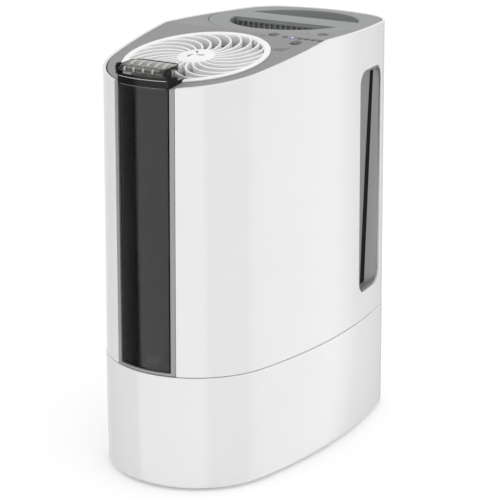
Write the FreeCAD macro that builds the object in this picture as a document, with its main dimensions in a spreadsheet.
import FreeCAD, Part
import math
import os

import Sketcher
from FreeCAD import Placement, Rotation, Vector

# Cool mist humidifier: a rounded-teardrop tub and housing, a slim water tank in the nose,
# a fan under a spiral grille and a wick filter cartridge under the rear lid.
# Millimetres, +Z up, nose towards -Y, origin on the floor under the middle of the footprint.

doc = FreeCAD.newDocument("humidifier")

# ---------------------------------------------------------------- driving dimensions

SIZES = [
    # plan outline: tangent arcs, mirrored in x
    ("nose_radius", 100.0), ("nose_y", -87.5), ("side_radius", 564.0), ("middle_y", 7.5),
    ("corner_radius", 56.0), ("rear_radius", 180.0),
    # how far the walls lean in from the outline, and how thick they are
    ("base_lean", 1.5), ("housing_lean", 1.7), ("rim_lean", 5.5), ("deck_inset", 10.1),
    ("wall", 3.0), ("shell_wall", 3.6),
    # levels
    ("foot_height", 3.0), ("base_top", 124.4), ("housing_bottom", 125.0),
    ("crease_y", -2.0), ("crease_z", 450.0), ("front_slope", 0.1673), ("rear_slope", 0.01),
    ("deck_drop", 0.8), ("deck_thickness", 3.0),
    # feet
    ("foot_radius", 9.0), ("foot_x", 62.0), ("front_foot_y", -95.0), ("rear_foot_y", 128.0),
    # water tray, float and the post that opens the tank's valve
    ("tray_inset", 4.2), ("tray_wall", 2.0), ("tray_lean", 1.2), ("tray_bottom", 6.0), ("tray_top", 100.0),
    ("guide_radius", 4.0), ("guide_height", 88.0), ("float_radius", 15.0), ("float_height", 20.0),
    ("post_radius", 3.0), ("post_height", 104.0),
    # water tank and its bay
    ("shell_opening", 36.7), ("bay_half", 36.3), ("trim_half", 31.6), ("tank_half", 31.0),
    ("bay_back", -143.5), ("bay_top", 419.5), ("tank_bottom", 128.6), ("tank_top", 420.0),
    ("tank_back", -147.0), ("tank_wall", 2.0), ("cap_half", 31.0), ("cap_top", 430.5),
    ("valve_y", -163.0), ("valve_bottom", 115.0), ("valve_top", 139.0), ("valve_radius", 13.0),
    ("thread_radius", 8.9), ("plunger_radius", 3.4),
    ("pivot_y", -175.6), ("pivot_z", 435.8), ("pin_radius", 2.0),
    ("grip_half", 28.2), ("grip_back", -148.4), ("grip_top", 440.4), ("grip_bottom", 431.4),
    # fan
    ("grille_radius", 74.0), ("ring_width", 5.0), ("grille_depth", 12.0), ("hub_radius", 20.0),
    ("grille_blades", 23), ("blade_thickness", 1.8), ("shroud_radius", 54.0), ("shroud_top", 412.0),
    ("plate_level", 352.0), ("plate_thickness", 3.5), ("plate_hole", 46.0), ("motor_level", 364.0),
    ("motor_radius", 20.0), ("mount_thickness", 4.0), ("air_hole", 17.0),
    ("motor_height", 30.0), ("shaft_radius", 2.5), ("impeller_radius", 49.0),
    ("impeller_level", 397.0), ("impeller_height", 14.0), ("impeller_blades", 7),
    # rear lid and filter
    ("seam_y", 96.6), ("seam_radius", 94.5), ("slot_rear", 77.5), ("slot_y", 88.5),
    ("slot_radius", 66.0), ("bridge_rear", 116.0), ("crescent_y", 90.0), ("crescent_radius", 74.0),
    ("crescent_floor", 435.0),
    ("lid_depth", 36.0), ("filter_y", 88.5), ("filter_radius", 74.0), ("filter_bore", 56.0),
    ("filter_bottom", 16.0), ("filter_top", 318.0),
    # side air inlets
    ("inlet_front", 70.0), ("inlet_rear", 131.0), ("inlet_bottom", 156.0), ("inlet_top", 404.0),
    ("inlet_corner", 15.0), ("inlet_back", 86.0),
    # control panel
    ("button_radius", 5.6), ("button_gap", 0.4), ("board_level", 436.5), ("board_thickness", 1.6),
    ("lens_y", -5.0), ("lens_width", 3.4),
]

sheet = doc.addObject("Spreadsheet::Sheet", "sizes")
for row, (alias, value) in enumerate(SIZES, start=1):
    sheet.set("A%d" % row, alias)
    sheet.set("B%d" % row, str(value))
    sheet.setAlias("B%d" % row, alias)
doc.recompute()

sub_parts = []


def size(alias):
    """A driving dimension as a number."""
    return float(sheet.get(alias))


def cell(alias):
    """A driving dimension as an expression."""
    return "sizes." + alias


# ---------------------------------------------------------------- plan outline and deck profile

NOSE = Vector(0, size("nose_y"), 0)
SIDE = Vector(-math.sqrt((size("side_radius") - size("nose_radius")) ** 2
                         - (size("middle_y") - size("nose_y")) ** 2), size("middle_y"), 0)
REAR = Vector(0, size("middle_y"), 0)
CORNER_REACH = size("rear_radius") - size("corner_radius")
CORNER_X = (SIDE.x ** 2 - (size("side_radius") - size("corner_radius")) ** 2
            + CORNER_REACH ** 2) / (2 * SIDE.x)
CORNER = Vector(CORNER_X, size("middle_y") + math.sqrt(CORNER_REACH ** 2 - CORNER_X ** 2), 0)


def bearing(start, end):
    """Angle of the line from start to end, in radians."""
    return math.atan2(end.y - start.y, end.x - start.x)


NOSE_END = bearing(SIDE, NOSE)
SIDE_END = bearing(SIDE, CORNER)
CORNER_END = bearing(REAR, CORNER)
UP = Vector(0, 0, 1)


def arc(centre, radius, start, end):
    """Arc in the sketch plane, counter-clockwise, angles in radians."""
    return Part.ArcOfCircle(Part.Circle(Vector(centre.x, centre.y, 0), UP, radius), start, end)


def outline(inset):
    """The plan outline with every radius less by the inset, as six tangent arcs."""
    left_side = Vector(-SIDE.x, SIDE.y, 0)
    left_corner = Vector(-CORNER.x, CORNER.y, 0)
    return [
        arc(NOSE, size("nose_radius") - inset, -math.pi - NOSE_END, NOSE_END),
        arc(SIDE, size("side_radius") - inset, NOSE_END, SIDE_END),
        arc(CORNER, size("corner_radius") - inset, SIDE_END, CORNER_END),
        arc(REAR, size("rear_radius") - inset, CORNER_END, math.pi - CORNER_END),
        arc(left_corner, size("corner_radius") - inset, math.pi - CORNER_END, math.pi - SIDE_END),
        arc(left_side, size("side_radius") - inset, math.pi - SIDE_END, math.pi - NOSE_END),
    ]


def polygon(points):
    """Closed run of straight lines through (x, y) points."""
    corners = [Vector(x, y, 0) for x, y in points]
    return [Part.LineSegment(a, b) for a, b in zip(corners, corners[1:] + corners[:1])]


def rectangle(x_low, y_low, x_high, y_high):
    return polygon([(x_low, y_low), (x_high, y_low), (x_high, y_high), (x_low, y_high)])


def rounded_rectangle(x_low, y_low, x_high, y_high, radius):
    """Rectangle whose corners are quarter circles."""
    quarter = math.pi / 2
    centres = [Vector(x_high - radius, y_high - radius, 0), Vector(x_low + radius, y_high - radius, 0),
               Vector(x_low + radius, y_low + radius, 0), Vector(x_high - radius, y_low + radius, 0)]
    curves = [arc(c, radius, i * quarter, (i + 1) * quarter) for i, c in enumerate(centres)]
    sides = [Part.LineSegment(a.EndPoint, b.StartPoint) for a, b in zip(curves, curves[1:] + curves[:1])]
    return curves + sides


def circle(x, y, radius):
    return Part.Circle(Vector(x, y, 0), UP, radius)


def chord_segment(centre_y, radius, chord_y, front):
    """Region between a chord at chord_y and the arc in front of it or behind it."""
    half = math.sqrt(radius ** 2 - (chord_y - centre_y) ** 2)
    right = math.atan2(chord_y - centre_y, half)
    left = math.pi - right
    start, end = (left, right + 2 * math.pi) if front else (right, left)
    curve = arc(Vector(0, centre_y, 0), radius, start, end)
    return [curve, Part.LineSegment(curve.EndPoint, curve.StartPoint)]


def deck_height(y):
    """Height of the rim over the plan: nearly flat behind the crease, sloping down ahead of it."""
    offset = y - size("crease_y")
    slope = size("rear_slope") if offset > 0 else size("front_slope")
    return size("crease_z") - slope * abs(offset)


def lean_at(z):
    """How far the housing wall leans in at height z."""
    span = size("crease_z") - size("housing_bottom")
    share = (z - size("housing_bottom")) / span
    return size("housing_lean") + (size("rim_lean") - size("housing_lean")) * share


# Past every side of the object, and above its top.
FAR = 260.0
SKY = 500.0
ACROSS = "2 * %g" % FAR
ABOVE_ALL = "%g" % SKY


def deck_band(below, thickness):
    """Side view, as (y, z), of a layer that follows the deck a given distance below the rim."""
    stations = [-FAR, size("crease_y"), FAR]
    top = [(y, deck_height(y) - below) for y in stations]
    return polygon(top + [(y, z - thickness) for y, z in reversed(top)])


# ---------------------------------------------------------------- building blocks


def new_body(label):
    body = doc.addObject("PartDesign::Body", label)
    body.Label = label
    sub_parts.append(body)
    return body


def sketch_on(body, role, geometry, level="0", radius=None):
    """Sketch on one of the body's own planes, lifted by level; radius binds its first circle."""
    plane = next(f for f in body.Origin.OriginFeatures if f.Role == role)
    sketch = body.newObject("Sketcher::SketchObject", body.Name + "_sketch")
    sketch.AttachmentSupport = [(plane, "")]
    sketch.MapMode = "FlatFace"
    sketch.setExpression(".AttachmentOffset.Base.z", level)
    sketch.addGeometry(geometry, False)
    if radius:
        sketch.addConstraint(Sketcher.Constraint("Radius", 0, geometry[0].Radius))
        sketch.setExpression("Constraints[0]", radius)
    return sketch


def feature(body, kind, sketch, **expressions):
    item = body.newObject("PartDesign::" + kind, body.Name + "_" + kind.lower())
    item.Profile = sketch
    for name, expression in expressions.items():
        item.setExpression(name, expression)
    return item


def pad(body, geometry, length, level="0", role="XY_Plane", symmetric=False, radius=None):
    """Add material from the sketch along its normal."""
    item = feature(body, "Pad", sketch_on(body, role, geometry, level, radius), Length=length)
    if symmetric:
        item.SideType = "Symmetric"
    return item


def pocket(body, geometry, length=None, level="0", role="XY_Plane", symmetric=False, radius=None):
    """Remove material against the sketch's normal, all the way when no length is given."""
    item = body.newObject("PartDesign::Pocket", body.Name + "_pocket")
    item.Profile = sketch_on(body, role, geometry, level, radius)
    if symmetric:
        item.SideType = "Symmetric"
    if length:
        item.setExpression("Length", length)
    else:
        item.Type = "ThroughAll"
    return item


def loft(body, kind, low, low_level, high, high_level):
    """Ruled loft between a low and a high section."""
    bottom = sketch_on(body, "XY_Plane", low, low_level)
    top = sketch_on(body, "XY_Plane", high, high_level)
    item = body.newObject("PartDesign::" + kind, body.Name + "_loft")
    item.Profile = bottom
    item.Sections = [top]
    item.Ruled = True
    return item


def trim_above_deck(body, lift):
    """Remove everything over the rim's line raised by lift."""
    above = [(y, deck_height(y) + lift) for y in (-FAR, size("crease_y"), FAR)]
    pocket(body, polygon(above + [(FAR, SKY), (-FAR, SKY)]), role="YZ_Plane", length=ACROSS, symmetric=True)


def primitive(kind, name, at, turned=None, **expressions):
    """Part primitive at a place, its sizes bound to the sheet."""
    item = doc.addObject("Part::" + kind, name)
    for name_of_size, expression in expressions.items():
        item.setExpression(name_of_size, expression)
    item.Placement = Placement(Vector(*at), turned or Rotation())
    return item


def boolean(kind, name, base, tool):
    item = doc.addObject("Part::" + kind, name)
    item.Base = base
    item.Tool = tool
    return item


def fused(name, shapes):
    item = doc.addObject("Part::MultiFuse", name)
    item.Shapes = shapes
    return item


def group(name, members):
    item = doc.addObject("Part::Compound", name)
    item.Links = members
    return item


def name_sub_part(item, label):
    item.Label = label
    sub_parts.append(item)
    return item


ALONG_X = Rotation(Vector(0, 1, 0), 90)
ALONG_Y = Rotation(Vector(1, 0, 0), -90)

# ---------------------------------------------------------------- base: tub, tray, feet, float


def make_base_shell():
    """White tub that leans in slightly towards its open top."""
    body = new_body("base_shell")
    wall = size("wall")
    loft(body, "AdditiveLoft", outline(0), cell("foot_height"), outline(size("base_lean")), cell("base_top"))
    loft(body, "SubtractiveLoft", outline(wall), cell("foot_height") + " + " + cell("wall"),
         outline(wall + size("base_lean")), cell("base_top") + " + 0.01")


def make_reservoir_tray():
    """Grey water tray that lies in the tub."""
    body = new_body("reservoir_tray")
    outer = size("tray_inset")
    inner = outer + size("tray_wall")
    lean = size("tray_lean")
    loft(body, "AdditiveLoft", outline(outer), cell("tray_bottom"), outline(outer + lean), cell("tray_top"))
    loft(body, "SubtractiveLoft", outline(inner), cell("tray_bottom") + " + " + cell("tray_wall"),
         outline(inner + lean), cell("tray_top") + " + 0.01")


def make_feet():
    """Four round rubber feet under the tub."""
    across = size("foot_x")
    places = [(x, size(row)) for row in ("front_foot_y", "rear_foot_y") for x in (-across, across)]
    feet = [primitive("Cylinder", "foot", (x, y, 0), Radius=cell("foot_radius"),
                      Height=cell("foot_height")) for x, y in places]
    name_sub_part(group("feet", feet), "rubber_feet")


TRAY_FLOOR = size("tray_bottom") + size("tray_wall")


def make_valve_pin():
    """Post that lifts the tank's valve when the tank is pushed down."""
    y = size("valve_y")
    boss = primitive("Cylinder", "valve_boss", (0, y, TRAY_FLOOR), Radius="8", Height="12")
    post = primitive("Cylinder", "valve_post", (0, y, TRAY_FLOOR), Radius=cell("post_radius"),
                     Height=cell("post_height"))
    name_sub_part(fused("pin", [boss, post]), "valve_pin")


FLOAT_PLACE = (62, -60)


def make_level_float():
    """Foam ring on the post that guides it, both standing in the tray."""
    x, y = FLOAT_PLACE
    post = primitive("Cylinder", "guide", (x, y, TRAY_FLOOR), Radius=cell("guide_radius"),
                     Height=cell("guide_height"))
    flange = primitive("Cylinder", "guide_foot", (x, y, TRAY_FLOOR), Radius="9", Height="2")
    name_sub_part(fused("float_guide", [post, flange]), "float_post")
    rest = TRAY_FLOOR + 2.5
    ring = primitive("Cylinder", "float_body", (x, y, rest), Radius=cell("float_radius"),
                     Height=cell("float_height"))
    bore = primitive("Cylinder", "float_bore", (x, y, rest - 0.5), Radius=cell("guide_radius") + " + 0.5",
                     Height=cell("float_height") + " + 2")
    name_sub_part(boolean("Cut", "float_ring", ring, bore), "level_float")


# ---------------------------------------------------------------- housing: shell, deck, inlets


def inlet_outline(gap):
    """Side air inlet, as (y, z), less a gap all round."""
    return rounded_rectangle(size("inlet_front") + gap, size("inlet_bottom") + gap,
                             size("inlet_rear") - gap, size("inlet_top") - gap,
                             size("inlet_corner") - gap)


def make_upper_shell():
    """White housing wall with the tank opening, the two side inlets and the socket opening."""
    body = new_body("upper_shell")
    thick = size("shell_wall")
    low = size("housing_lean")
    high = size("rim_lean")
    loft(body, "AdditiveLoft", outline(low), cell("housing_bottom"), outline(high), cell("crease_z"))
    loft(body, "SubtractiveLoft", outline(low + thick), cell("housing_bottom") + " - 0.01",
         outline(high + thick), cell("crease_z") + " + 0.01")
    trim_above_deck(body, 0)
    half = size("shell_opening")
    pocket(body, rectangle(-half, -FAR, half, size("bay_back")), level=ABOVE_ALL)
    pocket(body, inlet_outline(0), role="YZ_Plane", length=ACROSS, symmetric=True)
    pocket(body, rectangle(-SOCKET_HALF - 0.3, SOCKET_Z - SOCKET_RISE - 0.3, SOCKET_HALF + 0.3,
                           SOCKET_Z + SOCKET_RISE + 0.3), role="XZ_Plane", level="-150", length="60")


def seam_region(radius, far_y):
    """Region between the round seam of the deck and rear lid and a line at far_y."""
    y = size("seam_y")
    curve = arc(Vector(0, y, 0), radius, math.pi, 2 * math.pi)
    corners = [(radius, y), (SEAM_REACH, y), (SEAM_REACH, far_y),
               (-SEAM_REACH, far_y), (-SEAM_REACH, y), (-radius, y)]
    return [curve] + [Part.LineSegment(Vector(*a, 0), Vector(*b, 0)) for a, b in zip(corners, corners[1:])]


SEAM_REACH = 150.0
LENS_XS = [54.0, 63.0, 72.0, 80.0, 88.0, 96.0]
LIT_LENS = 1
BUTTON_RISE = 0.7
BUTTONS = {"power_button": (37.0, 0.0), "speed_button": (75.0, -18.0), "humidity_button": (80.0, 27.0)}


def make_top_deck():
    """Grey deck from the nose to the round seam, with openings for grille, tank and controls."""
    body = new_body("top_deck")
    pad(body, deck_band(size("deck_drop"), size("deck_thickness")), ACROSS, role="YZ_Plane", symmetric=True)
    rest = rectangle(-FAR - 10, -FAR - 10, FAR + 10, FAR + 10)
    pocket(body, rest + outline(size("deck_inset")), level=ABOVE_ALL)
    pocket(body, seam_region(size("seam_radius"), FAR), level=ABOVE_ALL)
    half = size("shell_opening")
    pocket(body, rectangle(-half, -FAR, half, size("bay_back") - 2), level=ABOVE_ALL)
    pocket(body, [circle(0, size("nose_y"), size("grille_radius") + 0.6)], level=ABOVE_ALL,
           radius=cell("grille_radius") + " + 0.6")
    for x, y in BUTTONS.values():
        pocket(body, [circle(x, y, size("button_radius"))], level=ABOVE_ALL,
               radius=cell("button_radius") + " + " + cell("button_gap"))
    lens = size("lens_width") / 2 + 0.1
    y = size("lens_y")
    for x in LENS_XS:
        pocket(body, rectangle(x - lens, y - lens, x + lens, y + lens), level=ABOVE_ALL)


def make_tank_bay():
    """Grey channel that lines the nose opening. Its sides rise to the deck as a trim beside the tank."""
    body = new_body("tank_bay")
    half = size("bay_half")
    inner = size("trim_half")
    back = size("bay_back")
    step = back - 2.7  # the bay's back wall is 2.5 thick, and its sides start just ahead of it
    highest = deck_height(step)
    sections = [nose_section(half, back, lean_at(z) + 0.6) for z in (size("housing_bottom"), highest)]
    loft(body, "AdditiveLoft", sections[0], cell("housing_bottom") + " + 0.4", sections[1], "%g" % highest)
    rise = [(y, deck_height(y) - size("deck_drop")) for y in (-FAR, step)]
    pocket(body, polygon(rise + [(step, size("bay_top")), (FAR, size("bay_top")), (FAR, SKY), (-FAR, SKY)]),
           role="YZ_Plane", length=ACROSS, symmetric=True)
    pocket(body, rectangle(-inner, -FAR, inner, back - 2.5), level="430", length="430 - 128")
    pocket(body, [circle(0, size("valve_y"), 14.2)], level="200", radius="14.2")


def nose_section(half, back, inset):
    """Plan section bounded by two sides, a straight back and the nose arc less an inset."""
    radius = size("nose_radius") - inset
    depth = NOSE.y - math.sqrt(radius ** 2 - half ** 2)
    angle = math.atan2(depth - NOSE.y, half)
    front = arc(NOSE, radius, -math.pi - angle, angle)
    corners = [Vector(half, depth, 0), Vector(half, back, 0), Vector(-half, back, 0), Vector(-half, depth, 0)]
    return [front] + [Part.LineSegment(a, b) for a, b in zip(corners, corners[1:])]


def make_inlet_ducts():
    """Grey linings of the side inlets: a ramp and a cheek that leave a leaning air gap between them."""
    body = new_body("inlet_duct_right")
    back = size("inlet_back")
    reach = 105.0
    pad(body, inlet_outline(0.3), "%g" % (reach - back), role="YZ_Plane", level="%g" % back)
    pocket(body, inlet_outline(2.0), role="YZ_Plane", level="%g" % reach)
    low_end, high_end = size("inlet_bottom") + 0.5, size("inlet_top") - 0.5
    edge = 1.5
    gap = 4.0
    front_y = size("inlet_front") + 1
    rear_y = size("inlet_rear") - 1
    ramps = []
    cheeks = []
    for gap_y, front_x, rear_x in ((104.0, 100.5, 92.6), (115.0, 98.0, 90.0)):
        far_y = gap_y + gap
        ramps.append(polygon([(back, front_y), (front_x, front_y), (back + edge, gap_y), (back, gap_y)]))
        cheeks.append(polygon([(back, far_y), (back + edge, far_y), (rear_x, rear_y), (back, rear_y)]))
    for low, high in (ramps, cheeks):
        loft(body, "AdditiveLoft", low, "%g" % low_end, high, "%g" % high_end)
    pocket(body, rectangle(-FAR, -FAR, FAR, FAR) + outline(lean_at(size("inlet_top")) + 0.3), level=ABOVE_ALL)
    around = rectangle(0, 100, FAR, 460) + inlet_outline(0.3)
    pocket(body, around, role="YZ_Plane", level="%g" % (reach + 1))
    mirror = doc.addObject("Part::Mirroring", "inlet_mirror")
    mirror.Source = body
    mirror.Normal = Vector(1, 0, 0)
    name_sub_part(mirror, "inlet_duct_left")


# ---------------------------------------------------------------- fan


def make_fan_plate():
    """Bulkhead under the fan with its intake hole."""
    body = new_body("fan_plate")
    pad(body, outline(11.5), cell("plate_thickness"), level=cell("plate_level"))
    pocket(body, rectangle(-FAR, -FAR, FAR, -140.5), level=ABOVE_ALL)
    pocket(body, rectangle(-FAR, -5.0, FAR, FAR), level=ABOVE_ALL)
    pocket(body, [circle(0, size("nose_y"), size("plate_hole"))], level=ABOVE_ALL, radius=cell("plate_hole"))


def make_plate_screws():
    """Four screws with domed heads that hold the fan plate's corners."""
    screws = []
    for x in (-72, 72):
        for y in (-110, -20):
            top = size("plate_level") + size("plate_thickness")
            shank = primitive("Cylinder", "shank", (x, y, top), Radius="1.5", Height="2")
            head = primitive("Cylinder", "head", (x, y, top), Radius="3.5", Height="2.4")
            screws.append(fused("screw", [shank, head]))
    name_sub_part(group("screws", screws), "plate_screws")


def make_air_bulkhead():
    """Upright wall between the filter and the fan chamber, with round air holes."""
    body = new_body("air_bulkhead")
    pad(body, rectangle(-94, 130, 94, 351.5), "2.5", role="XZ_Plane", level="1.5")
    for x in (-50, 0, 50):
        for z in (190, 240, 290):
            pocket(body, [circle(x, z, size("air_hole"))], role="XZ_Plane", level="10", radius=cell("air_hole"))


def make_fan_shroud():
    """Round duct that stands on the fan plate round the impeller."""
    y = size("nose_y")
    floor = size("plate_level") + size("plate_thickness")
    tube = primitive("Cylinder", "shroud_tube", (0, y, floor), Radius=cell("shroud_radius"),
                     Height="%s - %g" % (cell("shroud_top"), floor))
    hole = primitive("Cylinder", "shroud_hole", (0, y, floor - 1), Radius=cell("shroud_radius") + " - 2.5",
                     Height="100")
    name_sub_part(boolean("Cut", "shroud", tube, hole), "fan_shroud")


def make_motor_mount():
    """Three arms from the shroud wall to a round seat under the motor."""
    y = size("nose_y")
    thick = cell("mount_thickness")
    level = size("motor_level") - size("mount_thickness")
    seat = primitive("Cylinder", "seat", (0, y, level), Radius=cell("motor_radius") + " + 2", Height=thick)
    arms = []
    for i in range(3):
        turn = Rotation(UP, 30 + 120 * i)
        start = Vector(0, y, level) + turn.multVec(Vector(0, -3, 0))
        arms.append(primitive("Box", "arm", start, turn, Length="50", Width="6", Height=thick))
    rim = primitive("Cylinder", "mount_rim", (0, y, level), Radius=cell("shroud_radius") + " - 2.7",
                    Height=thick)
    bore = primitive("Cylinder", "mount_bore", (0, y, level - 1), Radius="48", Height="6")
    name_sub_part(fused("mount", [seat, boolean("Cut", "mount_ring", rim, bore)] + arms), "motor_mount")


def make_motor():
    """Motor can, blind bored from above, and the shaft that turns in it."""
    y = size("nose_y")
    level = size("motor_level")
    can = primitive("Cylinder", "can", (0, y, level), Radius=cell("motor_radius"), Height=cell("motor_height"))
    bore = primitive("Cylinder", "can_bore", (0, y, level + 10), Radius=cell("shaft_radius") + " + 0.05",
                     Height=cell("motor_height"))
    name_sub_part(boolean("Cut", "motor", can, bore), "fan_motor")
    shaft = primitive("Cylinder", "shaft", (0, y, level + 11), Radius=cell("shaft_radius"),
                      Height="%s + %s - %g" % (cell("impeller_level"), cell("impeller_height"), level + 11))
    name_sub_part(shaft, "motor_shaft")


def swept_band(radii, angles, thickness):
    """Curved band through three (radius, angle) stations, as two arcs and two end lines."""
    def station(radius, angle, side):
        lean = math.radians(angle)
        along = Vector(math.cos(lean), math.sin(lean), 0)
        across = Vector(-math.sin(lean), math.cos(lean), 0)
        return along * radius + across * side * thickness / 2
    ways = [[station(r, a, side) for r, a in zip(radii, angles)] for side in (-1, 1)]
    arcs = [Part.Arc(*way) for way in ways]
    ends = [Part.LineSegment(ways[0][0], ways[1][0]), Part.LineSegment(ways[0][2], ways[1][2])]
    return arcs + ends


def blades_round(body, blade, count):
    """Repeat a blade evenly about the body's own upright axis."""
    pattern = body.newObject("PartDesign::PolarPattern", body.Name + "_pattern")
    pattern.Originals = [blade]
    axis = next(f for f in body.Origin.OriginFeatures if f.Role == "Z_Axis")
    pattern.Axis = (axis, [""])
    pattern.Angle = 360
    pattern.setExpression("Occurrences", cell(count))
    body.Tip = pattern


def make_impeller():
    """Hub with swept blades on the motor shaft."""
    body = new_body("impeller")
    height = cell("impeller_height")
    pad(body, [circle(0, 0, 16)], height, radius="16")
    pocket(body, [circle(0, 0, size("shaft_radius"))], level="50", radius=cell("shaft_radius"))
    blade = pad(body, swept_band((15, 34, 48.8), (0, 22, 50), 2.0), height)
    blades_round(body, blade, "impeller_blades")
    body.Placement = Placement(Vector(0, size("nose_y"), size("impeller_level")), Rotation())


DECK_TILT = Rotation(Vector(1, 0, 0), math.degrees(math.atan(size("front_slope"))))


def on_sloped_deck(lift):
    """Placement on the sloped deck at the fan's centre, lifted along the deck's normal."""
    centre = Vector(0, size("nose_y"), deck_height(size("nose_y")) - size("deck_drop"))
    return Placement(centre + DECK_TILT.multVec(Vector(0, 0, lift)), DECK_TILT)


def make_fan_grille():
    """White outlet grille: ring, hub and spiral blades, notched behind the tank's handle."""
    body = new_body("fan_grille")
    radius = size("grille_radius")
    inner = radius - size("ring_width")
    depth = cell("grille_depth")
    pad(body, [circle(0, 0, radius), circle(0, 0, inner)], depth)
    blade = pad(body, swept_band((size("hub_radius") - 1, 45, inner + 0.6), (0, 13, 41),
                                 size("blade_thickness")), depth)
    blades_round(body, blade, "grille_blades")
    pad(body, [circle(0, 0, size("hub_radius"))], depth, radius=cell("hub_radius"))
    pocket(body, rectangle(-38.5, -100, 38.5, -58.2), level="50")
    body.Placement = on_sloped_deck(0.4 - size("grille_depth"))


def make_grille_badge():
    """Plain disc on the grille's hub."""
    badge = primitive("Cylinder", "badge", (0, 0, 0), Radius="14", Height="0.8")
    badge.Placement = on_sloped_deck(0.4)
    name_sub_part(badge, "grille_badge")


# ---------------------------------------------------------------- controls


def make_control_board():
    """Board shaped to clear the grille ring ahead of it and the rear lid behind it."""
    body = new_body("control_board")
    corners = [(30, -8), (50, -8), (60, -27), (95, -27), (95, 37), (79, 37), (60, 18), (45, 9.5), (30, 4.5)]
    pad(body, polygon(corners), cell("board_thickness"), level=cell("board_level"))
    sensor = primitive("Box", "sensor", (85, 0, size("board_level") - 5), Length="9", Width="9", Height="5")
    name_sub_part(sensor, "humidity_sensor")


def make_buttons():
    """Three round caps on stems, each over its own switch."""
    switches = []
    board_top = size("board_level") + size("board_thickness")
    for label, (x, y) in BUTTONS.items():
        body = new_body(label)
        bottom = board_top + 4.2
        pad(body, [circle(x, y, size("button_radius"))], "12", level="%g" % (deck_height(y) - 4.6),
            radius=cell("button_radius"))
        trim_above_deck(body, BUTTON_RISE - size("deck_drop"))
        pad(body, [circle(x, y, 1.8)], "%g" % (deck_height(y) - 4 - bottom), level="%g" % bottom, radius="1.8")
        switches.append(primitive("Box", "switch", (x - 3, y - 3, board_top), Length="6", Width="6",
                                  Height="3"))
    name_sub_part(group("switches", switches), "tact_switches")


def make_lenses():
    """Row of small square indicator windows, one of them lit."""
    half = size("lens_width") / 2
    y = size("lens_y")
    lenses = [primitive("Box", "lens", (x - half, y - half, deck_height(y) - 4.2), Length=cell("lens_width"),
                        Width=cell("lens_width"), Height="3.6") for x in LENS_XS]
    name_sub_part(lenses.pop(LIT_LENS), "lit_lens")
    name_sub_part(group("lenses", lenses), "indicator_lenses")


SOCKET_HALF = 14.0
SOCKET_RISE = 10.0
SOCKET_Z = 150.0


def make_power_inlet():
    """Appliance inlet low at the rear with its two pins."""
    outer = REAR.y + size("rear_radius") - lean_at(SOCKET_Z) - 0.2
    body = new_body("power_inlet")
    pad(body, rectangle(-SOCKET_HALF, SOCKET_Z - SOCKET_RISE, SOCKET_HALF, SOCKET_Z + SOCKET_RISE), "19",
        role="XZ_Plane", level="%g" % -outer)
    recess = pocket(body, rounded_rectangle(-10, SOCKET_Z - 5, 10, SOCKET_Z + 5, 4.5), length="15",
                    role="XZ_Plane", level="%g" % -outer)
    recess.Reversed = True
    pins = [primitive("Cylinder", "inlet_pin", (x, outer - 17, SOCKET_Z), ALONG_Y, Radius="1.2", Height="9")
            for x in (-4.3, 4.3)]
    name_sub_part(group("pins", pins), "inlet_pins")


# ---------------------------------------------------------------- water tank


def make_tank_body():
    """Hollow tank whose front follows the nose, open at the top under its cap."""
    body = new_body("tank_body")
    half = size("tank_half")
    back = size("tank_back")
    wall = size("tank_wall")
    leans = [lean_at(size("tank_bottom")) + 1.2, lean_at(size("tank_top")) + 1.2]
    outer = [nose_section(half, back, lean) for lean in leans]
    inner = [nose_section(half - wall, back - wall, lean + wall) for lean in leans]
    loft(body, "AdditiveLoft", outer[0], cell("tank_bottom"), outer[1], cell("tank_top"))
    loft(body, "SubtractiveLoft", inner[0], cell("tank_bottom") + " + " + cell("tank_wall"), inner[1],
         cell("tank_top") + " + 0.01")
    pocket(body, [circle(0, size("valve_y"), 9)], level="200", radius="9")


CAP_INSET = lean_at(425.0) + 0.4


def cap_plug():
    """Plan section of the cap's plug, a little inside the tank's mouth."""
    clear = size("tank_wall") + 0.6
    return nose_section(size("tank_half") - clear, size("tank_back") - clear, CAP_INSET + 4.5)


def make_tank_cap():
    """Black cap, lower behind, with an ear each side for the handle."""
    body = new_body("tank_cap")
    inset = CAP_INSET
    bottom = size("tank_top") + 0.2
    flange = nose_section(size("cap_half"), size("tank_back") - 0.3, inset)
    pad(body, flange, "%s - %g" % (cell("cap_top"), bottom), level="%g" % bottom)
    plug_depth = 8.0
    pad(body, cap_plug(), "%g" % plug_depth, level="%g" % (bottom - plug_depth))
    y = size("pivot_y")
    z = size("pivot_z")
    ear = [circle(y, z, 4.6)]
    inner_face = size("grip_half") + 0.5
    for level in (inner_face, -size("cap_half")):
        width = "%s - %g" % (cell("cap_half"), inner_face)
        pad(body, ear, width, role="YZ_Plane", level="%g" % level, radius="4.6")
        pad(body, rectangle(y - 4.0, size("cap_top") - 1, y + 4.6, z), width, role="YZ_Plane",
            level="%g" % level)
    pocket(body, rectangle(-161, 426.5, FAR, 500), role="YZ_Plane", length=ACROSS, symmetric=True)
    pocket(body, [circle(y, z, size("pin_radius"))], role="YZ_Plane", length=ACROSS,
           symmetric=True, radius=cell("pin_radius"))


def make_cap_seal():
    """Rubber ring that closes the gap between the cap's plug and the tank's mouth."""
    clear = size("tank_wall") + 0.05
    outer = nose_section(size("tank_half") - clear, size("tank_back") - clear, CAP_INSET + 3.6)
    body = new_body("cap_seal")
    pad(body, outer + cap_plug(), "3", level="%g" % (size("tank_top") - 5))


PIN_LENGTH = 10.0


def make_handle_pins():
    """Steel stub each side, pressed into the cap's ears."""
    half = size("cap_half")
    pins = [primitive("Cylinder", "pin_stub", (x, size("pivot_y"), size("pivot_z")), ALONG_X,
                      Radius=cell("pin_radius"), Height="%g" % PIN_LENGTH) for x in (-half, half - PIN_LENGTH)]
    name_sub_part(group("stubs", pins), "handle_pins")


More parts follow.
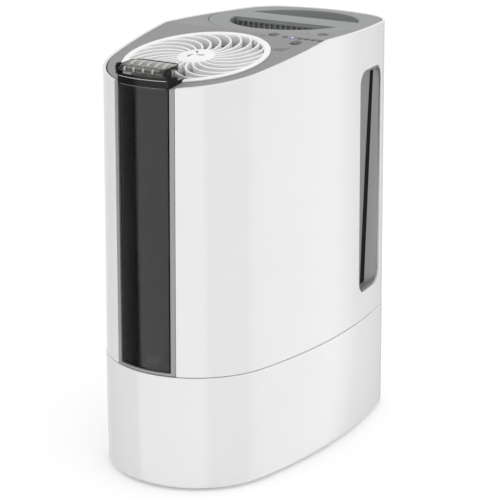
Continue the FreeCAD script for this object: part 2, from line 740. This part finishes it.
def make_tank_handle():
    """Flat grip folded back over the cap, turning on pins at its front edge."""
    body = new_body("tank_handle")
    y = size("pivot_y")
    z = size("pivot_z")
    width = "2 * " + cell("grip_half")
    pad(body, [circle(y, z, 4.4)], width, role="YZ_Plane", symmetric=True, radius="4.4")
    pad(body, rectangle(y, size("grip_bottom"), size("grip_back"), size("grip_top") - 0.2), width,
        role="YZ_Plane", symmetric=True)
    bore_end = size("cap_half") - PIN_LENGTH - 0.4
    for level in (bore_end, -size("grip_half")):
        pocket_length = "%s - %g" % (cell("grip_half"), bore_end)
        cut = pocket(body, [circle(y, z, 2)], length=pocket_length, role="YZ_Plane", level="%g" % level,
                     radius=cell("pin_radius") + " + 0.06")
        cut.Reversed = True


def make_valve():
    """Screw-in valve: housing under the tank floor, sprung plunger and its seal."""
    y = size("valve_y")
    floor = size("tank_bottom")
    top = size("valve_top")
    foot = size("valve_bottom")
    body = new_body("valve_housing")
    pad(body, [circle(0, y, size("valve_radius"))], "%g" % (floor - foot), level="%g" % foot,
        radius=cell("valve_radius"))
    pad(body, [circle(0, y, size("thread_radius"))], "%g" % (top - floor), level="%g" % floor,
        radius=cell("thread_radius"))
    chamber = 19.0
    lip = 2.0
    pocket(body, [circle(0, y, 7.6)], level="%g" % (top - lip), length="%g" % chamber, radius="7.6")
    pocket(body, [circle(0, y, 4)], level="%g" % (foot + 4), radius="4")
    pocket(body, [circle(0, y, 5)], level="%g" % (top + 1), length="4", radius="5")
    plunger = new_body("valve_plunger")
    stem = cell("plunger_radius")
    flange_level = foot + 5.2
    seal_thick = 1.8
    seal_level = flange_level - seal_thick
    pad(plunger, [circle(0, y, size("plunger_radius"))], "9.9", level="%g" % (foot - 2.7), radius=stem)
    pad(plunger, [circle(0, y, 7)], "2", level="%g" % flange_level, radius="7")
    seal = primitive("Cylinder", "seal_disc", (0, y, seal_level), Radius="6.8", Height="%g" % seal_thick)
    bore = primitive("Cylinder", "seal_bore", (0, y, seal_level - 0.4), Radius=stem, Height="3")
    name_sub_part(boolean("Cut", "seal_ring", seal, bore), "valve_seal")
    spring_level = flange_level + 2.1
    coil = primitive("Cylinder", "coil", (0, y, spring_level), Radius="6", Height="14.5")
    core = primitive("Cylinder", "coil_core", (0, y, spring_level - 0.3), Radius="5.2", Height="16")
    name_sub_part(boolean("Cut", "coil_tube", coil, core), "valve_spring")


# ---------------------------------------------------------------- rear lid and filter cartridge


def make_filter_lid():
    """Round-fronted rear lid with a deep D-shaped slot, a bridge to grip and a rear recess."""
    body = new_body("filter_lid")
    inset = size("deck_inset")
    radius = size("seam_radius") - 0.5
    top = size("crease_z") + 2
    level = "%g" % (top - size("lid_depth"))
    pad(body, outline(inset), cell("lid_depth"), level=level)
    pocket(body, seam_region(radius, -FAR), level=ABOVE_ALL)
    trim_above_deck(body, -size("deck_drop"))
    hollow = lid_hollow(inset + 3.0, radius - 3.0)
    slot_wall = chord_segment(size("slot_y"), size("slot_radius") + 2.5, size("slot_rear") + 2.0, True)
    recess_wall = chord_segment(size("crescent_y"), size("crescent_radius") + 2, size("bridge_rear") - 2, False)
    hollow_cut = pocket(body, hollow + slot_wall + recess_wall, level=level,
                        length="%s - 6" % cell("lid_depth"))
    hollow_cut.Reversed = True
    pocket(body, chord_segment(size("slot_y"), size("slot_radius"), size("slot_rear"), True), level=ABOVE_ALL)
    pocket(body, chord_segment(size("crescent_y"), size("crescent_radius"), size("bridge_rear"), False),
           level=ABOVE_ALL, length="500 - " + cell("crescent_floor"))
    under = pocket(body, chord_segment(size("crescent_y"), size("crescent_radius"), size("bridge_rear"), False),
                   level=level, length="%s - 3 - %s" % (cell("crescent_floor"), level))
    under.Reversed = True


def lid_hollow(inset, radius):
    """Lid outline less a wall: the outline behind, and the seam arc in front, joined by short sides."""
    seam = Vector(0, size("seam_y"), 0)
    reach = size("side_radius") - inset
    gap = seam - SIDE
    along = (reach ** 2 - radius ** 2 + gap.Length ** 2) / (2 * gap.Length)
    across = math.sqrt(reach ** 2 - along ** 2)
    unit = gap * (1 / gap.Length)
    meeting = SIDE + unit * along + Vector(unit.y, -unit.x, 0) * across
    side_start = bearing(SIDE, meeting)
    seam_start = bearing(seam, meeting)
    left_side = Vector(-SIDE.x, SIDE.y, 0)
    left_corner = Vector(-CORNER.x, CORNER.y, 0)
    corner = size("corner_radius") - inset
    return [
        arc(seam, radius, -math.pi - seam_start, seam_start),
        arc(SIDE, reach, side_start, SIDE_END),
        arc(CORNER, corner, SIDE_END, CORNER_END),
        arc(REAR, size("rear_radius") - inset, CORNER_END, math.pi - CORNER_END),
        arc(left_corner, corner, math.pi - CORNER_END, math.pi - SIDE_END),
        arc(left_side, reach, math.pi - SIDE_END, math.pi - side_start),
    ]


def make_slot_grille():
    """Upright ribs across the slot's rear wall."""
    pitch = 7.0
    y = size("slot_rear") - 3.0
    top = 446.0
    bottom = 418.0
    rails = [primitive("Box", "rail", (-62, y, z), Length="124", Width="2.8", Height="2")
             for z in (bottom, top - 2)]
    ribs = [primitive("Box", "rib", (pitch * (i - 8.5) - 1, y, bottom), Length="2", Width="2.8",
                      Height="%g" % (top - bottom)) for i in range(18)]
    name_sub_part(fused("ribs", rails + ribs), "slot_grille")


def make_filter_tab():
    """White edge of the filter's holder that shows low in the slot."""
    y = size("slot_rear") - 3.0
    tab = primitive("Box", "tab", (-30, y - 2.0, 419.0), Length="76", Width="2", Height="18.5")
    name_sub_part(tab, "filter_tab")


def make_filter_frame():
    """Rings above and below the wick with four posts that hang it from the lid."""
    y = size("filter_y")
    radius = size("filter_radius")
    rings = []
    for level in (size("filter_bottom") - 5, size("filter_top")):
        disc = primitive("Cylinder", "ring_disc", (0, y, level), Radius="%g" % (radius + 1), Height="5")
        hole = primitive("Cylinder", "ring_hole", (0, y, level - 1),
                         Radius="%g" % (size("filter_bore") - 2), Height="7")
        rings.append(boolean("Cut", "ring", disc, hole))
    base = size("filter_top") + 4
    skin = size("crease_z") + 2 - 6
    recess = size("crescent_floor") - 3
    posts = []
    for angle, top in ((10, skin), (50, recess), (130, recess), (170, skin)):
        lean = math.radians(angle)
        x = (radius - 3) * math.cos(lean)
        post_y = y + (radius - 3) * math.sin(lean)
        posts.append(primitive("Cylinder", "post", (x, post_y, base), Radius="3", Height="%g" % (top - base)))
    name_sub_part(fused("frame", rings + posts), "filter_frame")


def make_wick_filter():
    """Hollow paper drum that stands in the tray's water."""
    y = size("filter_y")
    height = "%s - %s" % (cell("filter_top"), cell("filter_bottom"))
    bottom = size("filter_bottom")
    drum = primitive("Cylinder", "drum", (0, y, bottom), Radius=cell("filter_radius"), Height=height)
    bore = primitive("Cylinder", "drum_bore", (0, y, bottom - 1), Radius=cell("filter_bore"), Height="400")
    name_sub_part(boolean("Cut", "wick", drum, bore), "wick_filter")


# ---------------------------------------------------------------- build and write

make_base_shell()
make_reservoir_tray()
make_feet()
make_valve_pin()
make_level_float()
make_upper_shell()
make_top_deck()
make_tank_bay()
make_inlet_ducts()
make_fan_plate()
make_plate_screws()
make_air_bulkhead()
make_fan_shroud()
make_motor_mount()
make_motor()
make_impeller()
make_fan_grille()
make_grille_badge()
make_control_board()
make_buttons()
make_lenses()
make_power_inlet()
make_tank_body()
make_tank_cap()
make_cap_seal()
make_handle_pins()
make_tank_handle()
make_valve()
make_filter_lid()
make_slot_grille()
make_filter_tab()
make_filter_frame()
make_wick_filter()
doc.recompute()

for item in doc.Objects:
    if "Invalid" in item.State or "Error" in item.State:
        raise RuntimeError("%s did not build" % item.Label)

os.makedirs("parts", exist_ok=True)
for item in sub_parts:
    shape = item.Shape
    if shape.isNull() or not shape.isValid():
        raise RuntimeError("%s has no valid shape" % item.Label)
    shape.exportStep("parts/%s.step" % item.Label)
    box = shape.BoundBox
    print("%-18s solids %d volume %9.0f  x %.1f..%.1f y %.1f..%.1f z %.1f..%.1f" % (
        item.Label, len(shape.Solids), shape.Volume, box.XMin, box.XMax, box.YMin, box.YMax,
        box.ZMin, box.ZMax))
